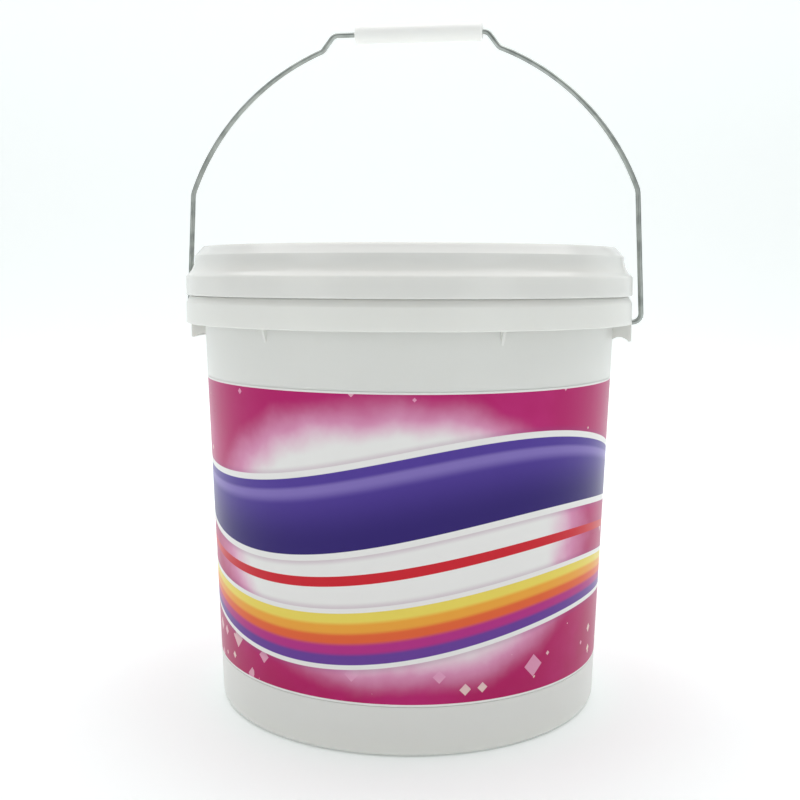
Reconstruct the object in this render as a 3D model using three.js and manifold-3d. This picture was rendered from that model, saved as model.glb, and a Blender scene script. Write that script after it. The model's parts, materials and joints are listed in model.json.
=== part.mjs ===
// Ten-litre pail for washing powder: a moulded body with a stiffening band and bail ears, a snap-on lid,
// a bent wire bail with a loose tube grip, and a printed film moulded into the wall.
// Millimetres, +Z up. The origin is the centre of the foot ring, on the surface that the pail stands on.
// The bail turns about an axis along X through the two ears, and the front of the pail faces -Y.

import * as THREE from 'three';
import { mergeVertices } from 'three/addons/utils/BufferGeometryUtils.js';
import Module from 'manifold-3d';

const wasm = await Module();
wasm.setup();

// Driving sizes of the whole object
const bodyHeight = 274;
const bandRadius = 135;
const gripLength = 79;
const bailRise = 128;

// Wall of the body
const wallTaper = 0.035;
const bandOverFoot = 18.8;
const wallThickness = 2;
const rimWallThickness = 1.7;

// Base of the body
const footRingWidth = 3.4;
const footCornerRadius = 3.5;
const baseRecess = 4.5;
const floorThickness = 2.2;
const floorCornerRadius = 6;
const recessDraft = 0.8;
const gateNubRadius = 4;
const gateNubHeight = 1;

// Snap bead round the rim, inside the lid
const beadInsideBand = 7;
const beadTopBelowRim = 5;
const beadDepth = 3.5;
const beadSlope = 2.2;
const rimLeadIn = 1.2;

// Stiffening band: a ledge, a bevel and a skirt, open below
const bandTopBelowRim = 28;
const bandHeight = 17.6;
const bandLedgeInset = 4;
const bandBevelDrop = 5;
const bandThickness = 2;

// Gusset ribs between the skirt and the wall, at the front and at the back
const gussetAngle = 32.6;
const gussetThickness = 2;
const gussetDrop = 6.9;

// Bail ears: a box of two ribs and a tab that carries on the skirt
const earHalfWidth = 16.5;
const earRibThickness = 2;
const earDrop = 9.2;
const earArchRise = 2.6;
const pivotAboveBandEdge = 1.6;
const wireClearanceInEar = 0.6;

// Lid
const lidThickness = 1.9;
const lidSkirtThickness = 1.8;
const lidSkirtHeight = 12;
const lidSkirtLift = 0.8;
const lidCoveTopInset = 5.6;
const lidCovePullAcross = 0.1;
const lidCovePullUp = 0.24;
const lidChimeInset = 10.4;
const lidChimeBevelDrop = 5.2;
const lidPanelRecess = 9.8;
const lidSeatClearance = 0.3;
const lidPlugClearance = 0.3;
const lidBeadClearance = 0.4;
const lidPlugLip = 3;
const lidPanelStepInset = 58;
const lidPanelStepHeight = 1.2;
const lidEdgeRadius = 1.2;

// Bail wire
const wireDiameter = 3.1;
const gripEndRoom = 7;
const bailDropRun = 7;
const bailLegStandOff = 5.8;
const bailArcBulge = 5.2;
const bailArcCentreBelowRim = 17;
const bailKinkAboveRim = 34;
const bailTopBendRadius = 5;
const bailKinkBendRadius = 12;
const bailFootBendRadius = 5;
const bailHookHeight = 6.5;
const bailHookInset = 7.4;
const bailHookBendRadius = 3;

// Grip
const gripDiameter = 11;
const gripClearance = 0.55;
const gripEndRound = 1;
const gripShift = 4.2;

// Label
const labelBottomHeight = 28.8;
const labelBelowBand = 30.4;
const labelThickness = 0.25;
const labelSeatDepth = 0.4;
const labelEdgeGap = 0.4;
const labelSeamGap = 5;

// Facets
const roundSides = 72;
const wireSides = 8;
const gripSides = 24;
const boreSides = 20;
const filletSteps = 4;
const edgeRoundSteps = 2;
const footArcSteps = 3;
const footArcDegrees = 67.5;
const coveSteps = 6;
const earArchSteps = 6;
const bailArcSteps = 9;
const bendStepDegrees = 18;

// Sizes that follow from the ones above
const wallRadiusAtFoot = bandRadius - bandOverFoot;
const beadRadius = bandRadius - beadInsideBand;
const bandLedgeRadius = bandRadius - bandLedgeInset;
const bandTopHeight = bodyHeight - bandTopBelowRim;
const bandBottomHeight = bandTopHeight - bandHeight;
const gussetFootHeight = bandBottomHeight - gussetDrop;
const earBottomHeight = bandBottomHeight - earDrop;
const pivotHeight = bandBottomHeight + pivotAboveBandEdge;
const floorHeight = baseRecess + floorThickness;
const labelTopHeight = bandBottomHeight - labelBelowBand;
const wireRadius = wireDiameter / 2;
const lidUndersideHeight = bodyHeight + lidSeatClearance;
const lidTopHeight = lidUndersideHeight + lidThickness;
const lidSkirtBottom = bandTopHeight + lidSkirtLift;
const lidSkirtTop = lidSkirtBottom + lidSkirtHeight;
const lidPanelTop = lidTopHeight - lidPanelRecess;
const lidPanelUnderside = lidPanelTop - lidThickness;
const lidCoveTopRadius = bandRadius - lidCoveTopInset;
const lidChimeRadius = bandRadius - lidChimeInset;
const bailTopHeight = bodyHeight + bailRise;
const bailTopHalfLength = gripLength / 2 + gripEndRoom;
const bailLegSpread = bandRadius + bailLegStandOff;
const bailArcRadius = bailLegSpread + bailArcBulge;
const bailArcCentreHeight = bodyHeight - bailArcCentreBelowRim;
const bailKinkHeight = bodyHeight + bailKinkAboveRim;

function wallRadius(height) {
  return wallRadiusAtFoot + wallTaper * height;
}

function innerRadius(height) {
  return wallRadius(height) - wallThickness;
}

// Above the band the wall is a little thinner, and the lid's plug follows its slope.
function rimInnerRadius(height) {
  return wallRadius(height) - rimWallThickness;
}

function lidPlugRadius(height) {
  return rimInnerRadius(height) - lidPlugClearance;
}

const lidPlugInnerRadius = lidPlugRadius(lidPanelUnderside) - lidThickness;
const lidPanelStepRadius = lidPlugInnerRadius - lidPanelStepInset;
const lidChannelRadius = beadRadius + lidBeadClearance;

// A closed geometry becomes a solid once its shared vertices are merged and slivers are dropped.
function solidOf(geometry) {
  const bare = geometry.clone();
  bare.deleteAttribute('normal');
  bare.deleteAttribute('uv');
  const merged = mergeVertices(bare, 1e-4);
  const corners = merged.index.array;
  const kept = [];
  for (let i = 0; i < corners.length; i += 3) {
    const [a, b, c] = [corners[i], corners[i + 1], corners[i + 2]];
    if (a !== b && b !== c && c !== a) kept.push(a, b, c);
  }
  const mesh = new wasm.Mesh({
    numProp: 3,
    vertProperties: new Float32Array(merged.attributes.position.array),
    triVerts: new Uint32Array(kept),
  });
  return new wasm.Manifold(mesh);
}

function geometryOf(solid) {
  const mesh = solid.getMesh();
  const geometry = new THREE.BufferGeometry();
  geometry.setAttribute('position', new THREE.BufferAttribute(new Float32Array(mesh.vertProperties), 3));
  geometry.setIndex(new THREE.BufferAttribute(new Uint32Array(mesh.triVerts), 1));
  geometry.computeVertexNormals();
  return geometry;
}

// A profile of (radius, height) points, given anticlockwise or clockwise, turned about Z.
// A loop that doesn't touch the axis is closed back to its first point.
function turned(profile, sides = roundSides) {
  const points = profile.map(([radius, height]) => new THREE.Vector2(radius, height));
  const onAxis = points[0].x === 0 && points[points.length - 1].x === 0;
  if (THREE.ShapeUtils.area(points) < 0) points.reverse();
  if (!onAxis) points.push(points[0].clone());
  return new THREE.LatheGeometry(points, sides).rotateX(Math.PI / 2);
}

// Points of a round corner about a centre, from one angle to another in degrees.
function arcPoints(centreRadius, centreHeight, radius, fromDegrees, toDegrees, steps = filletSteps) {
  const points = [];
  for (let i = 0; i <= steps; i += 1) {
    const angle = THREE.MathUtils.degToRad(fromDegrees + ((toDegrees - fromDegrees) * i) / steps);
    points.push([centreRadius + radius * Math.cos(angle), centreHeight + radius * Math.sin(angle)]);
  }
  return points;
}

function bodyProfile() {
  const footOuter = wallRadius(footCornerRadius) - footCornerRadius;
  const footInner = footOuter - footRingWidth;
  const bevelSlope = (bandRadius - bandLedgeRadius) / bandBevelDrop;
  const bevelInset = bandThickness * (Math.hypot(1, bevelSlope) - bevelSlope);
  const webUnderside = bandTopHeight - bandThickness;
  const seatBottom = labelBottomHeight - labelEdgeGap;
  const seatTop = labelTopHeight + labelEdgeGap;
  const beadTop = bodyHeight - beadTopBelowRim;
  const beadBottom = beadTop - beadDepth;
  const rimTop = wallRadius(bodyHeight);
  const innerCorner = floorHeight + floorCornerRadius;
  return [
    [0, baseRecess - gateNubHeight],
    [gateNubRadius, baseRecess - gateNubHeight],
    [gateNubRadius + gateNubHeight / 2, baseRecess],
    [footInner - recessDraft, baseRecess],
    [footInner, 0],
    [footOuter, 0],
    ...arcPoints(footOuter, footCornerRadius, footCornerRadius, -footArcDegrees, 0, footArcSteps),
    [wallRadius(seatBottom), seatBottom],
    [wallRadius(seatBottom) - labelSeatDepth, seatBottom],
    [wallRadius(seatTop) - labelSeatDepth, seatTop],
    [wallRadius(seatTop), seatTop],
    [wallRadius(webUnderside), webUnderside],
    [bandLedgeRadius - bevelInset / 2, webUnderside],
    [bandRadius - bandThickness, bandTopHeight - bandBevelDrop - bevelInset / 2],
    [bandRadius - bandThickness, bandBottomHeight],
    [bandRadius, bandBottomHeight],
    [bandRadius, bandTopHeight - bandBevelDrop],
    [bandLedgeRadius, bandTopHeight],
    [wallRadius(bandTopHeight), bandTopHeight],
    [wallRadius(beadBottom), beadBottom - beadSlope],
    [beadRadius, beadBottom],
    [beadRadius, beadTop],
    [rimTop, bodyHeight - rimLeadIn],
    [rimTop - rimLeadIn / 3, bodyHeight],
    [rimInnerRadius(bodyHeight), bodyHeight],
    [rimInnerRadius(bandTopHeight), bandTopHeight],
    [innerRadius(webUnderside), webUnderside],
    ...arcPoints(innerRadius(innerCorner) - floorCornerRadius, innerCorner, floorCornerRadius, 0, -90),
    [0, floorHeight],
  ];
}

// A flat rib in the plane through the axis, from its (radius, height) outline.
function radialRib(outline, thickness) {
  const shape = new THREE.Shape(outline.map(([radius, height]) => new THREE.Vector2(radius, height)));
  const plate = new THREE.ExtrudeGeometry(shape, { depth: thickness, bevelEnabled: false });
  return plate.rotateX(Math.PI / 2).translate(0, thickness / 2, 0);
}

// The ribs' ends lie halfway inside the wall and the skirt, so that they join them.
function ribEnds(height) {
  return {
    wallEnd: wallRadius(height) - labelSeatDepth - wallThickness / 2,
    skirtEnd: bandRadius - bandThickness / 2,
    topHeight: bandTopHeight - bandThickness / 2,
    bevelHeight: bandTopHeight - bandBevelDrop - bandThickness / 2,
  };
}

function gussetRibs() {
  const { wallEnd, skirtEnd, topHeight, bevelHeight } = ribEnds(gussetFootHeight);
  const outline = [
    [wallEnd, gussetFootHeight],
    [wallRadius(gussetFootHeight), gussetFootHeight],
    [skirtEnd, bandBottomHeight],
    [skirtEnd, bevelHeight],
    [bandLedgeRadius - bandThickness / 2, topHeight],
    [wallEnd, topHeight],
  ];
  const rib = radialRib(outline, gussetThickness);
  return [gussetAngle, -gussetAngle, 180 - gussetAngle, 180 + gussetAngle].map((fromFront) =>
    rib.clone().rotateZ(THREE.MathUtils.degToRad(fromFront - 90)),
  );
}

// One ear rib: its lower edge rises in a shallow arch between the wall and the tab.
function earRib() {
  const { wallEnd, skirtEnd, topHeight, bevelHeight } = ribEnds(earBottomHeight);
  const span = skirtEnd - wallEnd;
  const lowerEdge = [];
  for (let i = 0; i <= earArchSteps; i += 1) {
    const share = i / earArchSteps;
    lowerEdge.push([wallEnd + span * share, earBottomHeight + earArchRise * Math.sin(Math.PI * share)]);
  }
  const outline = [
    ...lowerEdge,
    [skirtEnd, bevelHeight],
    [bandLedgeRadius - bandThickness / 2, topHeight],
    [wallEnd, topHeight],
  ];
  return radialRib(outline, earRibThickness);
}

function earRibs() {
  const outwards = Math.asin(earHalfWidth / bandRadius);
  const angles = [outwards, -outwards, Math.PI + outwards, Math.PI - outwards];
  return angles.map((angle) => earRib().rotateZ(angle));
}

// The tabs are the stretches of a ring below the skirt that lie between each pair of ear ribs.
function earTabs() {
  const overlap = bandThickness;
  const ring = turned([
    [bandRadius - bandThickness, earBottomHeight],
    [bandRadius, earBottomHeight],
    [bandRadius, bandBottomHeight + overlap],
    [bandRadius - bandThickness, bandBottomHeight + overlap],
  ]);
  const length = 3 * bandRadius;
  const between = new THREE.BoxGeometry(length, 2 * earHalfWidth + earRibThickness, bandRadius);
  return solidOf(ring).intersect(solidOf(between.translate(0, 0, pivotHeight)));
}

function earHoles() {
  const radius = wireRadius + wireClearanceInEar;
  const length = 4 * bandThickness;
  return [1, -1].map((side) => {
    const bore = new THREE.CylinderGeometry(radius, radius, length, boreSides).rotateZ(Math.PI / 2);
    return solidOf(bore.translate(side * (bandRadius - bandThickness / 2), 0, pivotHeight));
  });
}

function pailBody() {
  let body = solidOf(turned(bodyProfile()));
  for (const rib of [...gussetRibs(), ...earRibs()]) body = body.add(solidOf(rib));
  body = body.add(earTabs());
  for (const hole of earHoles()) body = body.subtract(hole);
  return geometryOf(body);
}

// The cove between the lid's upper edge and its skirt is one hollow curve.
function covePoints(topRadius, topHeight, bottomRadius, bottomHeight) {
  const pullRadius = topRadius + lidCovePullAcross * (bottomRadius - topRadius);
  const pullHeight = bottomHeight + lidCovePullUp * (topHeight - bottomHeight);
  const curve = new THREE.QuadraticBezierCurve(
    new THREE.Vector2(topRadius, topHeight),
    new THREE.Vector2(pullRadius, pullHeight),
    new THREE.Vector2(bottomRadius, bottomHeight),
  );
  return curve.getPoints(coveSteps).map((point) => [point.x, point.y]);
}

function lidProfile() {
  const skirtInner = bandRadius - lidSkirtThickness;
  const shoulder = lidTopHeight - lidChimeBevelDrop;
  const channelTop = lidUndersideHeight;
  const plugBottom = lidPanelUnderside - lidPlugLip;
  const coveBottom = lidSkirtTop + lidEdgeRadius / 2;
  return [
    [0, lidPanelTop + lidPanelStepHeight],
    [lidPanelStepRadius, lidPanelTop + lidPanelStepHeight],
    [lidPanelStepRadius + lidPanelStepHeight, lidPanelTop],
    [lidPlugInnerRadius - 2 * lidEdgeRadius, lidPanelTop],
    [lidPlugInnerRadius - lidEdgeRadius / 2, lidPanelTop + lidEdgeRadius / 2],
    [lidPlugInnerRadius, lidPanelTop + 2 * lidEdgeRadius],
    [lidPlugInnerRadius, lidTopHeight],
    [lidChimeRadius - lidEdgeRadius, lidTopHeight],
    [lidChimeRadius + lidEdgeRadius / 4, lidTopHeight - lidEdgeRadius / 3],
    ...covePoints(lidCoveTopRadius, shoulder, bandRadius - lidEdgeRadius / 2, coveBottom),
    [bandRadius, lidSkirtTop - lidEdgeRadius / 2],
    [bandRadius, lidSkirtBottom],
    [skirtInner, lidSkirtBottom],
    [skirtInner, lidSkirtTop - lidSkirtThickness],
    [lidChannelRadius, lidSkirtTop + lidSkirtThickness],
    [lidChannelRadius, shoulder - lidSkirtThickness],
    [lidChimeRadius + lidSkirtThickness / 2, channelTop],
    [lidPlugRadius(channelTop), channelTop],
    [lidPlugRadius(lidPanelUnderside), lidPanelUnderside],
    [lidPlugRadius(plugBottom) - lidPlugClearance, plugBottom],
    [lidPlugInnerRadius, plugBottom],
    [lidPlugInnerRadius - lidThickness / 4, lidPanelUnderside],
    [0, lidPanelUnderside],
  ];
}

function lid() {
  return geometryOf(solidOf(turned(lidProfile())));
}

// Tangent points and arc of a bend of the given radius at a corner of a flat path.
function bentCorner(before, corner, after, radius) {
  const inwards = corner.clone().sub(before).normalize();
  const outwards = after.clone().sub(corner).normalize();
  const turn = Math.acos(THREE.MathUtils.clamp(inwards.dot(outwards), -1, 1));
  const reach = radius * Math.tan(turn / 2);
  const start = corner.clone().addScaledVector(inwards, -reach);
  const side = Math.sign(inwards.cross(outwards));
  const centre = start.clone().add(new THREE.Vector2(-inwards.y, inwards.x).multiplyScalar(side * radius));
  const steps = Math.max(2, Math.round(turn / THREE.MathUtils.degToRad(bendStepDegrees)));
  const points = [];
  for (let i = 0; i <= steps; i += 1) {
    points.push(start.clone().rotateAround(centre, (side * turn * i) / steps));
  }
  return points;
}

// A flat path in the XZ plane given by its corners, each with the radius of its bend (0 for none).
function bentPath(corners) {
  const stations = [];
  corners.forEach(({ at, radius }, i) => {
    const atEnd = i === 0 || i === corners.length - 1;
    if (atEnd || radius === 0) stations.push(at.clone());
    else stations.push(...bentCorner(corners[i - 1].at, at, corners[i + 1].at, radius));
  });
  return stations;
}

// The wire's centre line as a curve whose even steps are its own stations, so that bends stay fine.
class StationLine extends THREE.Curve {
  constructor(stations) {
    super();
    this.stations = stations.map((point) => new THREE.Vector3(point.x, 0, point.y));
  }

  getPoint(t, target = new THREE.Vector3()) {
    return target.copy(this.stations[Math.round(t * (this.stations.length - 1))]);
  }

  getPointAt(u, target) {
    return this.getPoint(u, target);
  }

  getTangentAt(u, target = new THREE.Vector3()) {
    const last = this.stations.length - 1;
    const i = Math.round(u * last);
    const here = this.stations[i];
    const back = here.clone().sub(this.stations[Math.max(i - 1, 0)]).normalize();
    const ahead = this.stations[Math.min(i + 1, last)].clone().sub(here).normalize();
    return target.copy(back).add(ahead).normalize();
  }
}

function bailHalf() {
  const dropEndX = bailTopHalfLength + bailDropRun;
  const dropAngle = Math.asin(dropEndX / bailArcRadius);
  const kinkAngle = Math.acos((bailKinkHeight - bailArcCentreHeight) / bailArcRadius);
  const corners = [{ at: new THREE.Vector2(bailTopHalfLength, bailTopHeight), radius: bailTopBendRadius }];
  for (let i = 0; i <= bailArcSteps; i += 1) {
    const angle = dropAngle + ((kinkAngle - dropAngle) * i) / bailArcSteps;
    const x = bailArcRadius * Math.sin(angle);
    const height = bailArcCentreHeight + bailArcRadius * Math.cos(angle);
    let radius = 0;
    if (i === 0) radius = bailTopBendRadius;
    if (i === bailArcSteps) radius = bailKinkBendRadius;
    corners.push({ at: new THREE.Vector2(x, height), radius });
  }
  const hookX = bandRadius - bailHookInset;
  corners.push({ at: new THREE.Vector2(bailLegSpread, pivotHeight), radius: bailFootBendRadius });
  corners.push({ at: new THREE.Vector2(hookX, pivotHeight), radius: bailHookBendRadius });
  corners.push({ at: new THREE.Vector2(hookX, pivotHeight + bailHookHeight), radius: 0 });
  return corners;
}

function bailWire() {
  const right = bailHalf();
  const left = right.map(({ at, radius }) => ({ at: new THREE.Vector2(-at.x, at.y), radius }));
  const stations = bentPath([...left.reverse(), ...right]);
  const section = new THREE.Shape();
  section.absarc(0, 0, wireRadius, 0, 2 * Math.PI);
  const wire = new THREE.ExtrudeGeometry(section, {
    curveSegments: wireSides,
    steps: stations.length - 1,
    extrudePath: new StationLine(stations),
  });
  return geometryOf(solidOf(wire));
}

function grip() {
  const outer = gripDiameter / 2;
  const bore = wireRadius + gripClearance;
  const half = gripLength / 2;
  const profile = [
    [bore, -half],
    ...arcPoints(outer - gripEndRound, -half + gripEndRound, gripEndRound, -90, 0, edgeRoundSteps),
    ...arcPoints(outer - gripEndRound, half - gripEndRound, gripEndRound, 0, 90, edgeRoundSteps),
    [bore, half],
  ];
  return geometryOf(solidOf(turned(profile, gripSides).rotateY(Math.PI / 2)));
}

// The film's face is flush with the wall, and its two ends stop short of each other at the back.
function label() {
  const skin = turned([
    [wallRadius(labelBottomHeight) - labelThickness, labelBottomHeight],
    [wallRadius(labelBottomHeight), labelBottomHeight],
    [wallRadius(labelTopHeight), labelTopHeight],
    [wallRadius(labelTopHeight) - labelThickness, labelTopHeight],
  ]);
  const depth = wallRadius(labelTopHeight);
  const seam = new THREE.BoxGeometry(labelSeamGap, depth, 2 * labelTopHeight);
  return geometryOf(solidOf(skin).subtract(solidOf(seam.translate(0, depth, 0))));
}

function piece(name, geometry, material) {
  const mesh = new THREE.Mesh(geometry, new THREE.MeshStandardMaterial(material));
  mesh.name = name;
  return mesh;
}

const pail = new THREE.Group();
pail.add(piece('pail_body', pailBody(), { color: 0xe9ebe9, roughness: 0.42, metalness: 0 }));
pail.add(piece('label', label(), { color: 0xb23a77, roughness: 0.34, metalness: 0 }));
pail.add(piece('lid', lid(), { color: 0xe6e8e6, roughness: 0.45, metalness: 0 }));

const bail = new THREE.Group();
bail.add(piece('bail_wire', bailWire(), { color: 0xa9adb0, roughness: 0.35, metalness: 1 }));
const gripMesh = piece('grip', grip(), { color: 0xeceeee, roughness: 0.4, metalness: 0 });
gripMesh.position.set(gripShift, 0, bailTopHeight);
bail.add(gripMesh);
pail.add(bail);

export default pail;
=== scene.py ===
# %% [markdown]
# # A ten-litre pail for washing powder
#
# The pail is five things: a moulded body, a lid that snaps over its rim, a bent wire bail, a loose tube
# on the bail for the hand, and a printed film that is moulded into the wall. Each of them is made here as
# its own mesh, in metres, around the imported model, which gives the places and the bodies that move.
#
# The frame comes first, because everything else is measured against it.

import json
import math

import bmesh
import bpy
from mathutils import Matrix, Vector

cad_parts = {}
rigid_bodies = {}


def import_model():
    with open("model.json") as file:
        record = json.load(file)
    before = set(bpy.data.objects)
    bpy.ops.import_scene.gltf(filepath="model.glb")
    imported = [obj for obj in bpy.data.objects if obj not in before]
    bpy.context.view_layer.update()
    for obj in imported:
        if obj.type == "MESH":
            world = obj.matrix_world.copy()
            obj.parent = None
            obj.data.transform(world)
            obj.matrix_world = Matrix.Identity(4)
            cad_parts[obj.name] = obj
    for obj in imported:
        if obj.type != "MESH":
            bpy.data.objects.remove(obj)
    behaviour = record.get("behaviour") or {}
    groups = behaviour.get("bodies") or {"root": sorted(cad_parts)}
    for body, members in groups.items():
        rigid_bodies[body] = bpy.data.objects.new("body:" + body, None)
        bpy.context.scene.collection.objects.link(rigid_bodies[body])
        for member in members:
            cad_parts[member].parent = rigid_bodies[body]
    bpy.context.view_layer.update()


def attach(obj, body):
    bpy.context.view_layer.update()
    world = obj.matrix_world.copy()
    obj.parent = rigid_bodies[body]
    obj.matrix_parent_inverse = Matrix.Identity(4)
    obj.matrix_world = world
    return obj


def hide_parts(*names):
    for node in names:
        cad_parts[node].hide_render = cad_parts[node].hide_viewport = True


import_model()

# %% [markdown]
# ## The sizes that all the pieces share
#
# A maker's drawing is in millimetres, and Blender works in metres, so one small factor stands between
# them. The wall leans outwards by a fixed amount for each millimetre of height, which is what lets the
# moulding slip off its core, so the wall's radius is a function of height and is never typed twice.
#
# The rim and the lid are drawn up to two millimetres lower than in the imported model, because that is where
# the photograph shows them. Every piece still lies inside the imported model's box.

# %% Units and the tapered wall
MM = 0.001
ON_AXIS = 1e-6
WALL_RADIUS_AT_FOOT = 116.2
WALL_TAPER = 0.035
WALL_THICKNESS = 2.0
RIM_WALL_THICKNESS = 1.7
BODY_HEIGHT = 272.0
BAND_RADIUS = 135.0
BAND_TOP = 246.0
BAND_BOTTOM = 229.4
BAND_LEDGE_RADIUS = 132.4
BAND_BEVEL_DROP = 4.4
BAND_THICKNESS = 2.0
PIVOT_HEIGHT = 230.0
LABEL_BOTTOM = 28.8
LABEL_TOP = 198.0
LABEL_SEAT_DEPTH = 0.4
LABEL_EDGE_GAP = 0.4


def wall_radius(height):
    """Outer radius of the wall at a height, both in millimetres."""
    return WALL_RADIUS_AT_FOOT + WALL_TAPER * height


print("wall radius at the foot and under the band:", wall_radius(0), round(wall_radius(BAND_BOTTOM), 2))

# %% [markdown]
# ## Turning an outline into a round piece
#
# Pails, lids and tubes are all round, so most of this object is an outline swept round an axis. The
# outline is a list of corners, each with the radius of its fillet. No moulded corner is truly sharp, and
# a fillet of half a millimetre is what catches the light as a thin bright line, so the fillets are built
# into the outline instead of being left to a bevel afterwards.

# %% Outline corners with fillets
def fillet(before, corner, after, radius, steps):
    """The arc that rounds one corner of a flat outline."""
    back = (before - corner).normalized()
    ahead = (after - corner).normalized()
    half = back.angle(ahead) / 2
    reach = radius / math.tan(half)
    reach = min(reach, 0.49 * (before - corner).length, 0.49 * (after - corner).length)
    true_radius = reach * math.tan(half)  # smaller than asked for where an edge is too short
    centre = corner + (back + ahead).normalized() * (true_radius / math.sin(half))
    start = corner + back * reach - centre
    turn = (corner + ahead * reach - centre).angle_signed(start)
    return [centre + Matrix.Rotation(turn * i / steps, 2) @ start for i in range(steps + 1)]


def rounded(outline, closed, steps=4):
    """Points of an outline given as (across, up) or (across, up, fillet radius) corners."""
    corners = [Vector(corner[:2]) for corner in outline]
    points = []
    last = len(corners) - 1
    for i, corner in enumerate(corners):
        radius = outline[i][2] if len(outline[i]) > 2 else 0
        if radius == 0 or (not closed and i in (0, last)):
            points.append(corner)
        else:
            points += fillet(corners[i - 1], corner, corners[(i + 1) % len(corners)], radius, steps)
    return points


print("a rounded square corner has", len(rounded([(0, 0), (1, 0, 0.2), (1, 1)], False)) - 2, "points")

# %% [markdown]
# The sweep itself is plain mesh code. Each point of the outline becomes a ring of vertices, or one single
# vertex where the outline meets the axis, and neighbouring rings are joined by four-sided faces. The
# normals are then made to point outwards, whichever way the outline was drawn.

# %% Mesh helpers
def new_object(name, mesh_maker):
    """An object whose mesh is filled in by a function that is given an empty bmesh."""
    shape = bmesh.new()
    mesh_maker(shape)
    bmesh.ops.recalc_face_normals(shape, faces=shape.faces)
    mesh = bpy.data.meshes.new(name)
    shape.to_mesh(mesh)
    shape.free()
    piece = bpy.data.objects.new(name, mesh)
    bpy.context.scene.collection.objects.link(piece)
    return piece


def ring_of(shape, point, sides):
    """The vertices that one point of an outline leaves behind as it goes round the Z axis."""
    if point.x < ON_AXIS:
        return [shape.verts.new((0, 0, point.y * MM))]
    ring = []
    radius = point.x * MM
    for i in range(sides):
        angle = math.tau * i / sides
        ring.append(shape.verts.new((radius * math.cos(angle), radius * math.sin(angle), point.y * MM)))
    return ring


def join_rings(shape, low, high):
    """Faces between two rings, either of which may be a single vertex."""
    sides = max(len(low), len(high))
    for i in range(sides):
        j = (i + 1) % sides
        corners = [low[i % len(low)], low[j % len(low)], high[j % len(high)], high[i % len(high)]]
        shape.faces.new(list(dict.fromkeys(corners)))


def revolved(name, points, sides, closed):
    """A round piece about the Z axis, from outline points in millimetres."""

    def fill(shape):
        rings = [ring_of(shape, point, sides) for point in points]
        for low, high in zip(rings, rings[1:]):
            join_rings(shape, low, high)
        if closed:
            join_rings(shape, rings[-1], rings[0])

    return new_object(name, fill)


def shade(piece, sharp_degrees=32):
    """Smooth shading that keeps real corners sharp, with big faces ruling the normals at their edges."""
    mesh = piece.data
    mesh.shade_smooth()
    mesh.set_sharp_from_angle(angle=math.radians(sharp_degrees))
    weighted = piece.modifiers.new("weighted", "WEIGHTED_NORMAL")
    weighted.keep_sharp = True
    bake_modifiers(piece)


def bake_modifiers(piece):
    """Replaces the mesh by what its modifiers make of it, so that nothing is left to work out later."""
    graph = bpy.context.evaluated_depsgraph_get()
    made = bpy.data.meshes.new_from_object(piece.evaluated_get(graph))
    piece.modifiers.clear()
    old = piece.data
    piece.data = made
    made.name = piece.name
    bpy.data.meshes.remove(old)


def combine(piece, other, operation):
    """Joins another solid to a piece, or cuts it away, and removes the other."""
    step = piece.modifiers.new("combine", "BOOLEAN")
    step.operation = operation
    step.solver = "MANIFOLD"
    step.object = other
    bake_modifiers(piece)
    bpy.data.objects.remove(other)


# %% [markdown]
# ## The body of the pail
#
# The body is one injection moulding: a recessed base on a foot ring, the tapered wall with a shallow seat
# for the film, the stiffening band, and above it the rim with the bead that the lid snaps over. In the
# real mould all of it is one outline with a core inside, so here too it is one outline, drawn from the
# centre of the base outwards, up the outside, over the rim and down the inside. Each corner is a radius and
# a height, and its third number is the fillet that the mould maker would cut there.

# %% The body's outline
ROUND_SIDES = 240
FOOT_RING_WIDTH = 3.4
FOOT_CORNER = 3.5
BASE_RECESS = 4.5
GATE_NUB_RADIUS = 4.0
GATE_NUB_DEPTH = 1.0
BASE_STEP_RADIUS = 58.0
BASE_STEP_RISE = 0.5
FLOOR_HEIGHT = 6.7
FLOOR_CORNER = 6.0
BEAD_RADIUS = 128.0
BEAD_TOP = BODY_HEIGHT - 5.0
BEAD_BOTTOM = BEAD_TOP - 3.5
BEAD_UNDERCUT = 2.2
RIM_LEAD_IN = 1.2
OUTLINE_STEPS = 5


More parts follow.
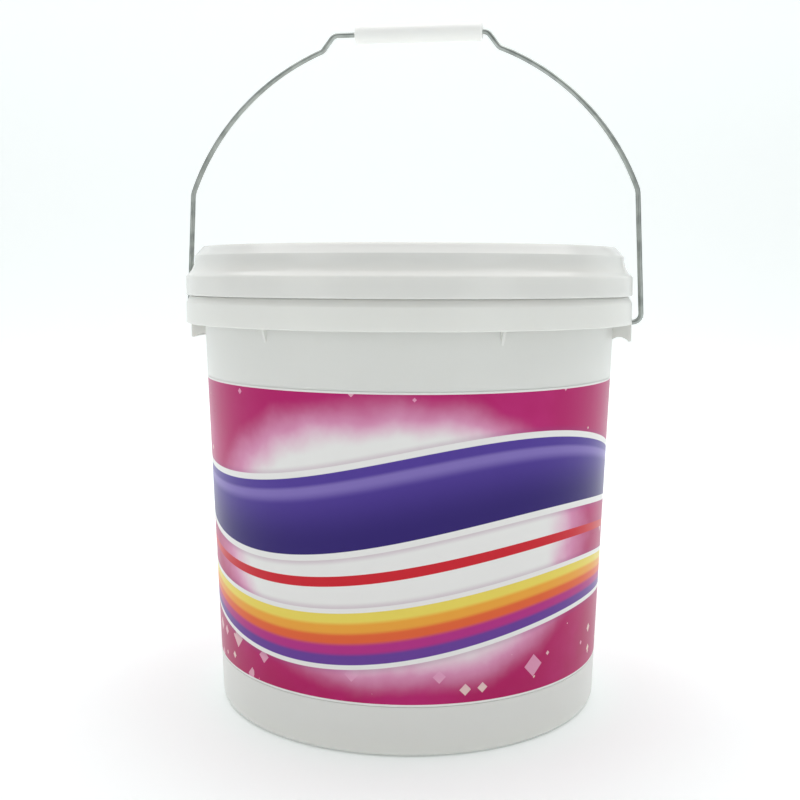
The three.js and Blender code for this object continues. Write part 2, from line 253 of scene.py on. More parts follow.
def body_outline():
    """The body's section as (radius, height, fillet) corners."""
    foot_outer = wall_radius(FOOT_CORNER)
    foot_inner = foot_outer - FOOT_CORNER - FOOT_RING_WIDTH
    web = BAND_TOP - BAND_THICKNESS
    skirt_inner = BAND_RADIUS - BAND_THICKNESS
    seat_low = LABEL_BOTTOM - LABEL_EDGE_GAP
    seat_high = LABEL_TOP + LABEL_EDGE_GAP
    base = [
        (0, BASE_RECESS - GATE_NUB_DEPTH),
        (GATE_NUB_RADIUS, BASE_RECESS - GATE_NUB_DEPTH, 0.3),
        (GATE_NUB_RADIUS + 0.5, BASE_RECESS, 0.3),
        (BASE_STEP_RADIUS, BASE_RECESS, 0.4),
        (BASE_STEP_RADIUS + 1.0, BASE_RECESS + BASE_STEP_RISE, 0.4),
        (foot_inner - 0.8, BASE_RECESS + BASE_STEP_RISE, 1.2),
        (foot_inner, 0, 0.5),
        (foot_outer, 0, FOOT_CORNER),
    ]
    wall = [
        (wall_radius(seat_low), seat_low, 0.06),
        (wall_radius(seat_low) - LABEL_SEAT_DEPTH, seat_low, 0.05),
        (wall_radius(seat_high) - LABEL_SEAT_DEPTH, seat_high, 0.05),
        (wall_radius(seat_high), seat_high, 0.06),
        (wall_radius(web), web, 1.2),
    ]
    band = [
        (BAND_LEDGE_RADIUS - 0.5, web, 1.0),
        (skirt_inner, BAND_TOP - BAND_BEVEL_DROP - 1.0, 1.0),
        (skirt_inner, BAND_BOTTOM, 0.4),
        (BAND_RADIUS, BAND_BOTTOM, 0.5),
        (BAND_RADIUS, BAND_TOP - BAND_BEVEL_DROP, 1.6),
        (BAND_LEDGE_RADIUS, BAND_TOP, 0.8),
        (wall_radius(BAND_TOP), BAND_TOP, 1.0),
    ]
    rim = [
        (wall_radius(BEAD_BOTTOM), BEAD_BOTTOM - BEAD_UNDERCUT, 0.8),
        (BEAD_RADIUS, BEAD_BOTTOM, 0.8),
        (BEAD_RADIUS, BEAD_TOP, 0.8),
        (wall_radius(BODY_HEIGHT), BODY_HEIGHT - RIM_LEAD_IN, 0.8),
        (wall_radius(BODY_HEIGHT) - 0.4, BODY_HEIGHT, 0.4),
        (wall_radius(BODY_HEIGHT) - RIM_WALL_THICKNESS, BODY_HEIGHT, 0.4),
    ]
    inside = [
        (wall_radius(BAND_TOP) - RIM_WALL_THICKNESS, BAND_TOP, 2.0),
        (wall_radius(web) - WALL_THICKNESS, web, 2.0),
        (wall_radius(FLOOR_HEIGHT) - WALL_THICKNESS, FLOOR_HEIGHT, FLOOR_CORNER),
        (0, FLOOR_HEIGHT),
    ]
    return base + wall + band + rim + inside


body_points = rounded(body_outline(), closed=False, steps=OUTLINE_STEPS)
pail_shell = revolved("pail_shell", body_points, ROUND_SIDES, closed=False)
print("body outline has", len(body_points), "points;", len(pail_shell.data.polygons), "faces")

# %% [markdown]
# Under the band the mould leaves thin upright ribs. Four gussets brace the ledge at the front and the
# back, and at each ear two ribs and a tab make an open box that the wire's foot hooks into. A rib is a flat
# plate with its thin edges softened, turned to its place about the axis. Joining it with a boolean, not
# just pushing it in, leaves one clean skin with no hidden faces.

# %% Ribs under the band
GUSSET_ANGLES = (30.5, -30.5, 149.5, 210.5)
GUSSET_FOOT = 221.5
GUSSET_REACH = 126.8
GUSSET_LEAN = 1.6
RIB_THICKNESS = 2.0
RIB_EDGE_SOFTENING = 0.25
EAR_HALF_WIDTH = 16.5
EAR_BOTTOM = 219.2
EAR_ARCH_RISE = 2.6
EAR_ARCH_STEPS = 12


def radial_plate(name, outline, thickness, angle):
    """A flat rib through the axis, from its (radius, height) outline, turned by an angle about Z."""

    def fill(shape):
        corners = [shape.verts.new((x * MM, -thickness * MM / 2, z * MM)) for x, z in outline]
        face = shape.faces.new(corners)
        grown = bmesh.ops.extrude_face_region(shape, geom=[face])
        moved = [part for part in grown["geom"] if isinstance(part, bmesh.types.BMVert)]
        bmesh.ops.translate(shape, verts=moved, vec=(0, thickness * MM, 0))
        long_edges = [edge for edge in shape.edges if edge.verts[0].co.y == edge.verts[1].co.y]
        bmesh.ops.bevel(shape, geom=long_edges, offset=RIB_EDGE_SOFTENING * MM, segments=2, affect="EDGES")
        bmesh.ops.rotate(shape, verts=shape.verts, matrix=Matrix.Rotation(angle, 3, "Z"))

    return new_object(name, fill)


def rib_top(foot):
    """The corners of a rib that lie inside the skirt, the web and the wall, with the wall's own radius."""
    skirt = BAND_RADIUS - BAND_THICKNESS / 2
    wall = wall_radius(foot) - LABEL_SEAT_DEPTH - WALL_THICKNESS / 2
    return skirt, wall, [
        (skirt, BAND_TOP - BAND_BEVEL_DROP - 1.0),
        (BAND_LEDGE_RADIUS - 1.0, BAND_TOP - 1.0),
        (wall, BAND_TOP - 1.0),
    ]


def gusset_outline():
    """A gusset, which slants from the band's lower edge in to the wall."""
    wall = rib_top(GUSSET_FOOT)[1]
    return [
        (wall, GUSSET_FOOT),
        (wall_radius(GUSSET_FOOT), GUSSET_FOOT),
        (GUSSET_REACH, BAND_BOTTOM),
        (GUSSET_REACH + GUSSET_LEAN, BAND_TOP - BAND_THICKNESS / 2),
        (wall, BAND_TOP - BAND_THICKNESS / 2),
    ]


def ear_rib_outline():
    """A rib beside an ear, whose lower edge is a shallow arch."""
    skirt, wall, top = rib_top(EAR_BOTTOM)
    lower_edge = []
    for i in range(EAR_ARCH_STEPS + 1):
        share = i / EAR_ARCH_STEPS
        rise = EAR_ARCH_RISE * math.sin(math.pi * share)
        lower_edge.append((wall + (skirt - wall) * share, EAR_BOTTOM + rise))
    return lower_edge + top


for degrees in GUSSET_ANGLES:
    plate = radial_plate("gusset", gusset_outline(), RIB_THICKNESS, math.radians(degrees - 90))
    combine(pail_shell, plate, "UNION")
ear_turn = math.asin(EAR_HALF_WIDTH / BAND_RADIUS)
for angle in (ear_turn, -ear_turn, math.pi + ear_turn, math.pi - ear_turn):
    combine(pail_shell, radial_plate("ear_rib", ear_rib_outline(), RIB_THICKNESS, angle), "UNION")
print("body with its ribs:", len(pail_shell.data.polygons), "faces")

# %% [markdown]
# The tab between two ear ribs carries on the round skirt, so it starts as a short arc of the same ring.
# Its hole is a straight bore along X, because the bail swings about that line.

# %% Ear tabs and holes
WIRE_RADIUS = 1.55
EAR_HOLE_RADIUS = WIRE_RADIUS + 0.6
EAR_HOLE_FLARE = 0.5
EAR_TAB_STEPS = 20
BORE_REACH_IN = 5
BORE_REACH_OUT = 2
BORE_SIDES = 40


def ear_tab(side):
    """A stretch of the skirt's ring that hangs below it between the ear ribs."""
    reach = math.asin((EAR_HALF_WIDTH + RIB_THICKNESS / 2 - 0.2) / BAND_RADIUS)
    low, high = EAR_BOTTOM, BAND_BOTTOM + 2
    inner, outer = BAND_RADIUS - BAND_THICKNESS, BAND_RADIUS
    section = rounded([(inner, low, 0.4), (outer, low, 0.5), (outer, high), (inner, high)], closed=True)

    def fill(shape):
        rows = []
        for i in range(EAR_TAB_STEPS + 1):
            angle = side + reach * (2 * i / EAR_TAB_STEPS - 1)
            turn = Vector((math.cos(angle), math.sin(angle)))
            row = [(p.x * MM * turn.x, p.x * MM * turn.y, p.y * MM) for p in section]
            rows.append([shape.verts.new(corner) for corner in row])
        for near, far in zip(rows, rows[1:]):
            join_rings(shape, near, far)
        shape.faces.new(rows[0])
        shape.faces.new(rows[-1])

    return new_object("ear_tab", fill)


def ear_bore(direction):
    """The cutter for one ear hole, a little flared at the outside."""
    skin = BAND_RADIUS * math.cos(math.pi / ROUND_SIDES)
    flared = EAR_HOLE_RADIUS + EAR_HOLE_FLARE
    profile = [(0, -BORE_REACH_IN), (EAR_HOLE_RADIUS, -BORE_REACH_IN), (EAR_HOLE_RADIUS, -0.45)]
    profile += [(flared, 0.05), (flared, BORE_REACH_OUT), (0, BORE_REACH_OUT)]
    cutter = revolved("ear_bore", [Vector(point) for point in profile], BORE_SIDES, closed=False)
    tilt = Matrix.Rotation(direction * math.pi / 2, 4, "Y")
    place = Matrix.Translation((direction * skin * MM, 0, PIVOT_HEIGHT * MM))
    cutter.data.transform(place @ tilt)
    return cutter


for side, direction in ((0, 1), (math.pi, -1)):
    combine(pail_shell, ear_tab(side), "UNION")
    combine(pail_shell, ear_bore(direction), "DIFFERENCE")
shade(pail_shell)
print("finished body:", len(pail_shell.data.polygons), "faces")

# %% [markdown]
# ## The lid
#
# The lid is a single skin of even thickness that is folded over the rim: a recessed panel, up the inside
# wall that plugs the mouth, over the chime, down through a hollow cove and out to the skirt. Even
# thickness is what makes it mouldable, so the inner line follows the outer one at the same distance. The
# cove is drawn with a curve formula because its change from dark to light is the lid's clearest feature.

# %% The lid's outline
LID_THICKNESS = 1.9
LID_SKIRT_THICKNESS = 1.8
LID_UNDERSIDE = BODY_HEIGHT + 0.3
LID_TOP = LID_UNDERSIDE + LID_THICKNESS
LID_SKIRT_BOTTOM = BAND_TOP - 0.2
LID_SKIRT_TOP = LID_SKIRT_BOTTOM + 11.2
LID_SHOULDER = LID_TOP - 5.4
LID_COVE_RADIUS = 129.4
LID_CHIME_RADIUS = 124.6
LID_PANEL_TOP = LID_TOP - 9.8
LID_CHANNEL_RADIUS = BEAD_RADIUS + 0.4
LID_GATE_RADIUS = 3.4
LID_GATE_RISE = 0.5
LID_STEP_RADIUS = 62.0
LID_STEP_RISE = 1.2
PLUG_CLEARANCE = 0.3
PLUG_FOOT = 3.0
COVE_STEPS = 10
COVE_TRIM = 2


def cove(start, end):
    """A hollow quarter curve from the shoulder down to the skirt, trimmed to leave its ends to fillets."""
    pull = Vector((start.x + 0.1 * (end.x - start.x), end.y + 0.24 * (start.y - end.y)))
    points = []
    for i in range(COVE_TRIM, COVE_STEPS - COVE_TRIM + 1):
        t = i / COVE_STEPS
        points.append(start * (1 - t) ** 2 + pull * 2 * t * (1 - t) + end * t**2)
    return [tuple(point) for point in points]


def plug_radius(height):
    """Outer radius of the part of the lid that goes down inside the rim."""
    return wall_radius(height) - RIM_WALL_THICKNESS - PLUG_CLEARANCE


def lid_outline():
    """The lid's section as (radius, height, fillet) corners, from the centre of the panel outwards."""
    raised = LID_PANEL_TOP + LID_STEP_RISE
    panel_under = LID_PANEL_TOP - LID_THICKNESS
    plug_inner = plug_radius(panel_under) - LID_THICKNESS
    skirt_inner = BAND_RADIUS - LID_SKIRT_THICKNESS
    top = [
        (0, raised + LID_GATE_RISE),
        (LID_GATE_RADIUS, raised + LID_GATE_RISE, 0.3),
        (LID_GATE_RADIUS + 0.6, raised, 0.4),
        (LID_STEP_RADIUS, raised, 0.5),
        (LID_STEP_RADIUS + LID_STEP_RISE, LID_PANEL_TOP, 0.5),
        (plug_inner, LID_PANEL_TOP, 2.4),
        (plug_inner, LID_TOP, 0.7),
        (LID_CHIME_RADIUS, LID_TOP, 1.1),
    ]
    shoulder = Vector((LID_COVE_RADIUS, LID_SHOULDER))
    foot = Vector((BAND_RADIUS - 0.6, LID_SKIRT_TOP + 0.6))
    outside = [(shoulder.x, shoulder.y, 0.5)] + cove(shoulder, foot)
    outside += [(BAND_RADIUS, LID_SKIRT_TOP, 2.2), (BAND_RADIUS, LID_SKIRT_BOTTOM, 0.5)]
    inside = [
        (skirt_inner, LID_SKIRT_BOTTOM, 0.4),
        (skirt_inner, LID_SKIRT_TOP - LID_SKIRT_THICKNESS, 1.5),
        (LID_CHANNEL_RADIUS, LID_SKIRT_TOP + LID_SKIRT_THICKNESS, 1.5),
        (LID_CHANNEL_RADIUS, LID_SHOULDER - LID_SKIRT_THICKNESS, 1.0),
        (LID_CHIME_RADIUS + LID_SKIRT_THICKNESS / 2, LID_UNDERSIDE, 0.6),
        (plug_radius(LID_UNDERSIDE), LID_UNDERSIDE, 0.3),
        (plug_radius(panel_under), panel_under),
        (plug_radius(panel_under - PLUG_FOOT) - 0.3, panel_under - PLUG_FOOT, 0.5),
        (plug_inner, panel_under - PLUG_FOOT, 0.5),
        (plug_inner - LID_THICKNESS / 4, panel_under, 0.6),
        (0, panel_under),
    ]
    return top + outside + inside


lid_points = rounded(lid_outline(), closed=False, steps=OUTLINE_STEPS)
snap_lid = revolved("snap_lid", lid_points, ROUND_SIDES, closed=False)
shade(snap_lid)
print("lid outline has", len(lid_points), "points;", len(snap_lid.data.polygons), "faces")

# %% [markdown]
# ## The wire bail
#
# A bail is one length of galvanised wire, bent in a few strokes of a press: a straight top for the grip, a
# short drop at each end of it, one long arc down each side, a slight kink, a leg, and a foot that turns in
# through the ear and up into a hook. The whole wire lies in one plane, so a ring of vertices at each
# station needs only one turn about Y, and the rings never twist. Every bend gets more stations than the
# straights, because that is where facets would show.

# %% The bail's centre line
BAIL_TOP = 402.0
BAIL_TOP_HALF = 46.5
BAIL_DROP_RUN = 7.0
BAIL_ARC_RADIUS = 146.0
BAIL_ARC_CENTRE = 257.0
BAIL_KINK = 308.0
BAIL_LEG = 140.8
HOOK_X = BAND_RADIUS - 7.4
HOOK_HEIGHT = 6.5
TOP_BEND = 5.0
KINK_BEND = 12.0
FOOT_BEND = 5.0
HOOK_BEND = 3.0
BAIL_ARC_STEPS = 26
BEND_STEPS = 8
WIRE_SIDES = 20
WIRE_END_SHARE = 0.8
WIRE_END_REACH = 0.25


def bail_corners():
    """The right half of the bail as (x, height, bend radius) corners, from the top to the hook."""
    from_upright = math.asin((BAIL_TOP_HALF + BAIL_DROP_RUN) / BAIL_ARC_RADIUS)
    to_upright = math.acos((BAIL_KINK - BAIL_ARC_CENTRE) / BAIL_ARC_RADIUS)
    corners = [(BAIL_TOP_HALF, BAIL_TOP, TOP_BEND)]
    for i in range(BAIL_ARC_STEPS + 1):
        angle = from_upright + (to_upright - from_upright) * i / BAIL_ARC_STEPS
        bend = {0: TOP_BEND, BAIL_ARC_STEPS: KINK_BEND}.get(i, 0.0)
        x = BAIL_ARC_RADIUS * math.sin(angle)
        height = BAIL_ARC_CENTRE + BAIL_ARC_RADIUS * math.cos(angle)
        corners.append((x, height, bend))
    corners.append((BAIL_LEG, PIVOT_HEIGHT, FOOT_BEND))
    corners.append((HOOK_X, PIVOT_HEIGHT, HOOK_BEND))
    corners.append((HOOK_X, PIVOT_HEIGHT + HOOK_HEIGHT))
    return corners


def swept_wire(name, stations, radius, sides):
    """A round wire along flat stations in the XZ plane, with softened ends."""

    def ring(shape, centre, across, scale, push, along):
        """One ring of vertices square to the wire, scaled and pushed along it at its two ends."""
        points = []
        for i in range(sides):
            angle = math.tau * i / sides
            flat = centre + across * (radius * scale * math.cos(angle)) + along * push
            aside = radius * scale * math.sin(angle)
            points.append(shape.verts.new((flat.x * MM, aside * MM, flat.y * MM)))
        return points

    def fill(shape):
        rings = []
        last = len(stations) - 1
        for i, here in enumerate(stations):
            back = (here - stations[max(i - 1, 0)]).normalized()
            ahead = (stations[min(i + 1, last)] - here).normalized()
            along = (back + ahead).normalized()
            across = Vector((-along.y, along.x))
            if i == 0:
                rings.append(ring(shape, here, across, WIRE_END_SHARE, -WIRE_END_REACH, along))
            rings.append(ring(shape, here, across, 1.0, 0.0, along))
            if i == last:
                rings.append(ring(shape, here, across, WIRE_END_SHARE, WIRE_END_REACH, along))
        for near, far in zip(rings, rings[1:]):
            join_rings(shape, near, far)
        shape.faces.new(rings[0])
        shape.faces.new(rings[-1])

    return new_object(name, fill)


right_half = bail_corners()
left_half = [(-corner[0], *corner[1:]) for corner in reversed(right_half)]
stations = rounded(left_half + right_half, closed=False, steps=BEND_STEPS)
bail_handle = swept_wire("bail_handle", stations, WIRE_RADIUS, WIRE_SIDES)
shade(bail_handle, sharp_degrees=50)
wire_length = sum((b - a).length for a, b in zip(stations, stations[1:]))
print("wire is", round(wire_length), "mm long with", len(stations), "stations")

# %% [markdown]
# ## The grip
#
# The hand holds a plain plastic tube that turns on the wire. It was moulded in two halves of a tool, and
# the line where they met stays as a faint ridge along each side. The ridge is made by lifting one row of
# vertices by a tenth of a millimetre, which is enough to catch the light.

# %% The grip tube
GRIP_LENGTH = 76.8
GRIP_RADIUS = 5.5
GRIP_BORE = WIRE_RADIUS + 0.55
GRIP_SHIFT = 5.2
GRIP_SIDES = 72
PARTING_RISE = 0.1


def grip_tube():
    """A tube made upright about Z, given its two ridges, and then laid along the top of the bail."""
    half = GRIP_LENGTH / 2
    outline = [
        (GRIP_BORE, -half, 0.3),
        (GRIP_RADIUS - PARTING_RISE, -half, 0.9),
        (GRIP_RADIUS - PARTING_RISE, half, 0.9),
        (GRIP_BORE, half, 0.3),
    ]
    points = rounded(outline, closed=True, steps=OUTLINE_STEPS)
    tube = revolved("grip_tube", points, GRIP_SIDES, closed=True)
    for vertex in tube.data.vertices:
        flat = Vector((vertex.co.x, vertex.co.y))
        on_ridge = abs(flat.y) < 1e-7 and abs(vertex.co.z) < (half - 1.2) * MM
        if on_ridge and flat.length > (GRIP_BORE + 1) * MM:
            grown = flat * (1 + PARTING_RISE * MM / flat.length)
            vertex.co.x, vertex.co.y = grown
    lie_down = Matrix.Rotation(math.pi / 2, 4, "Y")
    tube.data.transform(Matrix.Translation((GRIP_SHIFT * MM, 0, BAIL_TOP * MM)) @ lie_down)
    return tube


grip_piece = grip_tube()
shade(grip_piece)

# %% [markdown]
# ## The printed film
#
# The film is laid in the mould before the plastic is shot, so it ends up flush with the wall, and its two
# ends stop a few millimetres short of each other at the back. It is a thin curved sheet with its own
# thickness. Its UV map is the flat print: across is the way round the pail, and up is the height.

# %% The film as a curved sheet
FILM_THICKNESS = 0.25
FILM_SEAM = 5.0
FILM_COLUMNS = 238
FILM_ROWS = 12


def border_of(skin):
    """The vertices round the edge of a skin that is given as columns of vertices."""
    low_edge = [column[0] for column in skin]
    high_edge = [column[-1] for column in reversed(skin[:-1])]
    return low_edge + skin[-1][1:] + high_edge + list(reversed(skin[0][1:-1]))


def label_film():
    """Two skins of faces, a film's thickness apart and closed round their edge, with a flat UV map."""
    half_seam = math.asin(FILM_SEAM / 2 / wall_radius(LABEL_TOP))

    def place(column, row, depth):
        """Where one corner of the grid of faces lies, in metres."""
        angle = math.pi / 2 + half_seam + (math.tau - 2 * half_seam) * column / FILM_COLUMNS
        height = LABEL_BOTTOM + (LABEL_TOP - LABEL_BOTTOM) * row / FILM_ROWS
        radius = wall_radius(height) - depth
        return radius * MM * math.cos(angle), radius * MM * math.sin(angle), height * MM

    def fill(shape):
        flat_map = shape.loops.layers.uv.new("OFBake")
        skins = []
        for depth in (0, FILM_THICKNESS):
            skin = []
            for column in range(FILM_COLUMNS + 1):
                skin.append([shape.verts.new(place(column, row, depth)) for row in range(FILM_ROWS + 1)])
            skins.append(skin)
        for skin in skins:
            for left, right in zip(skin, skin[1:]):
                for low in range(FILM_ROWS):
                    shape.faces.new((left[low], right[low], right[low + 1], left[low + 1]))
        join_rings(shape, border_of(skins[0]), border_of(skins[1]))
        spots = {}
        for skin in skins:
            for column, line in enumerate(skin):
                for row, vertex in enumerate(line):
                    spots[vertex] = (column / FILM_COLUMNS, row / FILM_ROWS)
        for face in shape.faces:
            for loop in face.loops:
                loop[flat_map].uv = spots[loop.vert]

    return new_object("label_film", fill)


film = label_film()
shade(film)
print("film:", len(film.data.polygons), "faces,", round(math.tau * wall_radius(113)), "mm round")

# %% [markdown]
# ## Building materials from nodes
#
# All the finishes are procedural: noise and simple arithmetic stand in for photographs of a surface. A few
# small helpers keep the node code readable. The main three add a node and fill its inputs, do a sum, and
# fade from nothing to everything around an edge, which is what every printed shape is made of.

# %% Node helpers
class Finish:
    """A material with a Principled shader and short ways to add nodes to it."""

    def __init__(self, name):
        self.material = bpy.data.materials.new(name)
        self.material.use_nodes = True
        self.tree = self.material.node_tree
        self.shader = self.tree.nodes["Principled BSDF"]

    def put(self, value, socket):
        """Links a socket to an input, or sets the input to a plain value."""
        if isinstance(value, bpy.types.NodeSocket):
            self.tree.links.new(value, socket)
        else:
            socket.default_value = value

    def node(self, kind, out=0, **inputs):
        """Adds a node, fills its inputs by name, and returns its first output or the one named."""
        made = self.tree.nodes.new(kind)
        for key, value in inputs.items():
            self.put(value, made.inputs[key.replace("_", " ")])
        return made.outputs[out]

    def sum(self, operation, *values, clamp=False):
        """One step of arithmetic on sockets or numbers."""
        made = self.tree.nodes.new("ShaderNodeMath")
        made.operation = operation
        made.use_clamp = clamp
        for value, socket in zip(values, made.inputs):
            self.put(value, socket)
        return made.outputs[0]

    def fade(self, value, empty, full):
        """0 where value is at empty, 1 where it is at full, smooth between."""
        made = self.tree.nodes.new("ShaderNodeMapRange")
        made.interpolation_type = "SMOOTHSTEP"
        self.put(value, made.inputs["Value"])
        made.inputs["From Min"].default_value = empty
        made.inputs["From Max"].default_value = full
        return made.outputs["Result"]

    def mix(self, share, first, second):
        """A colour between two colours."""
        made = self.tree.nodes.new("ShaderNodeMix")
        made.data_type = "RGBA"
        sockets = [socket for socket in made.inputs if socket.type == "RGBA"]
        self.put(share, made.inputs["Factor"])
        self.put(first, sockets[0])
        self.put(second, sockets[1])
        return next(socket for socket in made.outputs if socket.type == "RGBA")

    def place(self):
        """The object's own coordinates, in metres."""
        return self.node("ShaderNodeTexCoord", out="Object")

    def stretched(self, x, y, z):
        """Object coordinates scaled differently along each axis, for streaks."""
        return self.node("ShaderNodeMapping", Vector=self.place(), Scale=(x, y, z))

    def noise(self, scale, detail=2.0, vector=None, roughness=0.5):
        """A cloudy pattern between 0 and 1, with a scale in waves to the metre."""
        where = vector if vector is not None else self.place()
        return self.node("ShaderNodeTexNoise", Vector=where, Scale=scale, Detail=detail, Roughness=roughness)

    def bump(self, height, strength, distance):
        """Tilts the normals by a height pattern; distance is how deep it looks, in metres."""
        normal = self.node("ShaderNodeBump", Height=height, Strength=strength, Distance=distance)
        self.put(normal, self.shader.inputs["Normal"])

    def set(self, **inputs):
        """Fills inputs of the shader by name, with sockets or plain values."""
        for key, value in inputs.items():
            self.put(value, self.shader.inputs[key.replace("_", " ")])


def dress(piece, finish, body, node):
    """Gives a piece its finish, fixes it to its moving body and hides the imported part that it replaces."""
    piece.data.materials.clear()
    piece.data.materials.append(finish.material)
    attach(piece, body)
    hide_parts(node)


# %% [markdown]
# ## White polypropylene
#
# The body, lid and grip are the same milky plastic. Light goes a few millimetres into it before it comes
# back, so subsurface scattering softens every edge and lightens the narrow grooves. A real moulding is
# never quite even: the colour drifts a little, the gloss follows faint upright flow marks, handling leaves
# fine scuffs, and the skin has a very shallow orange peel. Each of these is small, and together they keep
# it from looking like paint.

# %% The plastic finishes
POLYPROPYLENE_IOR = 1.49
LIGHT_DEPTH = 5.0 * MM
PEEL_DEPTH = 0.06 * MM
SCUFF_COLOUR = (0.62, 0.62, 0.6, 1)


def plastic_scuffs(finish):
    """Fine level scratches, kept to patches as if hands and shelves had made them."""
    lines = finish.noise(1.0, 5.0, finish.stretched(90.0, 90.0, 2400.0), 0.7)
    patches = finish.fade(finish.noise(38.0, 3.0), 0.62, 0.74)
    return finish.sum("MULTIPLY", finish.fade(lines, 0.58, 0.68), patches)


def white_plastic(name, colour, dull_colour, roughness, peel):
    """Milky plastic between two tones, with its least roughness and the strength of its orange peel."""
    finish = Finish(name)
    drift = finish.noise(14.0, 3.0)
    flow = finish.noise(1.0, 3.0, finish.stretched(60.0, 60.0, 7.0), 0.5)
    scuffs = plastic_scuffs(finish)
    tone = finish.mix(finish.sum("MULTIPLY", drift, 0.6), colour, dull_colour)
    tone = finish.mix(finish.sum("MULTIPLY", scuffs, 0.25), tone, SCUFF_COLOUR)
    grain = finish.sum("ADD", finish.sum("MULTIPLY", flow, 0.05), finish.sum("MULTIPLY", scuffs, 0.12))
    finish.set(Base_Color=tone, Roughness=finish.sum("ADD", grain, roughness, clamp=True))
    finish.set(IOR=POLYPROPYLENE_IOR, Subsurface_Weight=0.4, Subsurface_Scale=LIGHT_DEPTH)
    finish.set(Subsurface_Radius=(1.0, 0.95, 0.9))
    fine_peel = finish.noise(900.0, 2.0)
    relief = finish.sum("ADD", finish.sum("MULTIPLY", fine_peel, 0.5), finish.noise(220.0, 1.0))
    finish.bump(relief, peel, PEEL_DEPTH)
    return finish


BODY_TONES = ((0.79, 0.79, 0.76, 1), (0.755, 0.755, 0.72, 1))
LID_TONES = ((0.79, 0.785, 0.755, 1), (0.76, 0.755, 0.725, 1))
GRIP_TONES = ((0.93, 0.93, 0.91, 1), (0.89, 0.89, 0.87, 1))
body_plastic = white_plastic("body_plastic", *BODY_TONES, roughness=0.28, peel=0.3)
lid_plastic = white_plastic("lid_plastic", *LID_TONES, roughness=0.17, peel=0.2)
grip_plastic = white_plastic("grip_plastic", *GRIP_TONES, roughness=0.36, peel=0.3)
dress(pail_shell, body_plastic, "pail", "pail_body")
dress(snap_lid, lid_plastic, "lid", "lid")
dress(grip_piece, grip_plastic, "grip", "grip")
print("each white plastic has", len(body_plastic.tree.nodes), "nodes")

# %% [markdown]
# ## Galvanised wire
#
# Zinc on drawn wire is a soft grey metal with a cloudy bloom and fine marks that run along the wire. One
# noise makes the bloom in both the colour and the roughness, so the wire has brighter and duller stretches
# as in the photograph. A second noise, squeezed across the plane that the wire lies in, makes the marks.

# %% The wire finish
DULL_ZINC = (0.31, 0.335, 0.32, 1)
BRIGHT_ZINC = (0.44, 0.47, 0.45, 1)
DRAW_MARK_DEPTH = 0.05 * MM


def galvanised_wire():
    """Clouded zinc with fine marks along the straight runs."""
    finish = Finish("galvanised_wire")
    bloom = finish.noise(120.0, 4.0)
    drawn = finish.noise(1.0, 3.0, finish.stretched(700.0, 1800.0, 700.0))
    tone = finish.mix(finish.fade(bloom, 0.35, 0.65), DULL_ZINC, BRIGHT_ZINC)
    rough = finish.sum("ADD", finish.sum("MULTIPLY", bloom, 0.25), finish.sum("MULTIPLY", drawn, 0.12))
    finish.set(Base_Color=tone, Metallic=1.0, Roughness=finish.sum("ADD", rough, 0.16, clamp=True))
    finish.bump(drawn, 0.3, DRAW_MARK_DEPTH)
    return finish


dress(bail_handle, galvanised_wire(), "bail", "bail_wire")
print("wire finish has", len(bail_handle.data.materials[0].node_tree.nodes), "nodes")

# %% [markdown]
# ## The print on the film
#
# The film carries a plain design of its own: a magenta ground with a pale glow at the front, a broad
# violet wave, a thin red one and a striped one that run right round the pail, and a scatter of small
# diamonds. It is drawn in flat millimetres, with "across" measured round the wall from the middle of the
# front and "up" from the film's lower edge, so every shape is a formula in those two values. Each layer
# is a mask that lays one colour over the last, as a printer's screens do.

# %% Flat coordinates for the print
PRINT_CENTRE = math.radians(4.0)
PRINT_RADIUS = 120.0
WAVES_ROUND = 2
FILM_HEIGHT = LABEL_TOP - LABEL_BOTTOM
WHITE_INK = (0.84, 0.83, 0.82, 1)


def flat_coordinates(finish):
    """Millimetres across and up on the flat print."""
    split = finish.tree.nodes.new("ShaderNodeSeparateXYZ")
    finish.put(finish.place(), split.inputs[0])
    front = finish.sum("MULTIPLY", split.outputs["Y"], -1.0)
    angle = finish.sum("ARCTAN2", split.outputs["X"], front)
    across = finish.sum("MULTIPLY", finish.sum("SUBTRACT", angle, PRINT_CENTRE), PRINT_RADIUS)
    up = finish.sum("SUBTRACT", finish.sum("MULTIPLY", split.outputs["Z"], 1 / MM), LABEL_BOTTOM)
    return across, up


def wave(finish, across, up, middle, swing, phase, thick, thin):
    """A waving band: how deep a spot lies inside it, and its share of the way up the band."""
    turn = finish.sum("MULTIPLY_ADD", across, WAVES_ROUND / PRINT_RADIUS, phase)
    line = finish.sum("MULTIPLY_ADD", finish.sum("SINE", turn), swing, middle)
    nearness = finish.sum("COSINE", finish.sum("DIVIDE", across, PRINT_RADIUS))
    half_width = finish.sum("MULTIPLY_ADD", nearness, (thick - thin) / 4, (thick + thin) / 4)
    off = finish.sum("SUBTRACT", up, line)
    inside = finish.sum("SUBTRACT", half_width, finish.sum("ABSOLUTE", off))
    share = finish.sum("MULTIPLY_ADD", finish.sum("DIVIDE", off, half_width), 0.5, 0.5)
    return inside, share


print("flat print is", round(math.tau * PRINT_RADIUS), "by", round(FILM_HEIGHT, 1), "mm")

# %% [markdown]
# The ground is a flat magenta with a slow drift in it. The glow is an oval whose rim is broken up by
# noise, so it fades like sprayed ink. The diamonds come from scattered points, each the centre of a cell.
# The distance to a point is measured along the two axes, like walking round the blocks of a town, and then
# the spots that lie equally far off make a diamond instead of a circle.

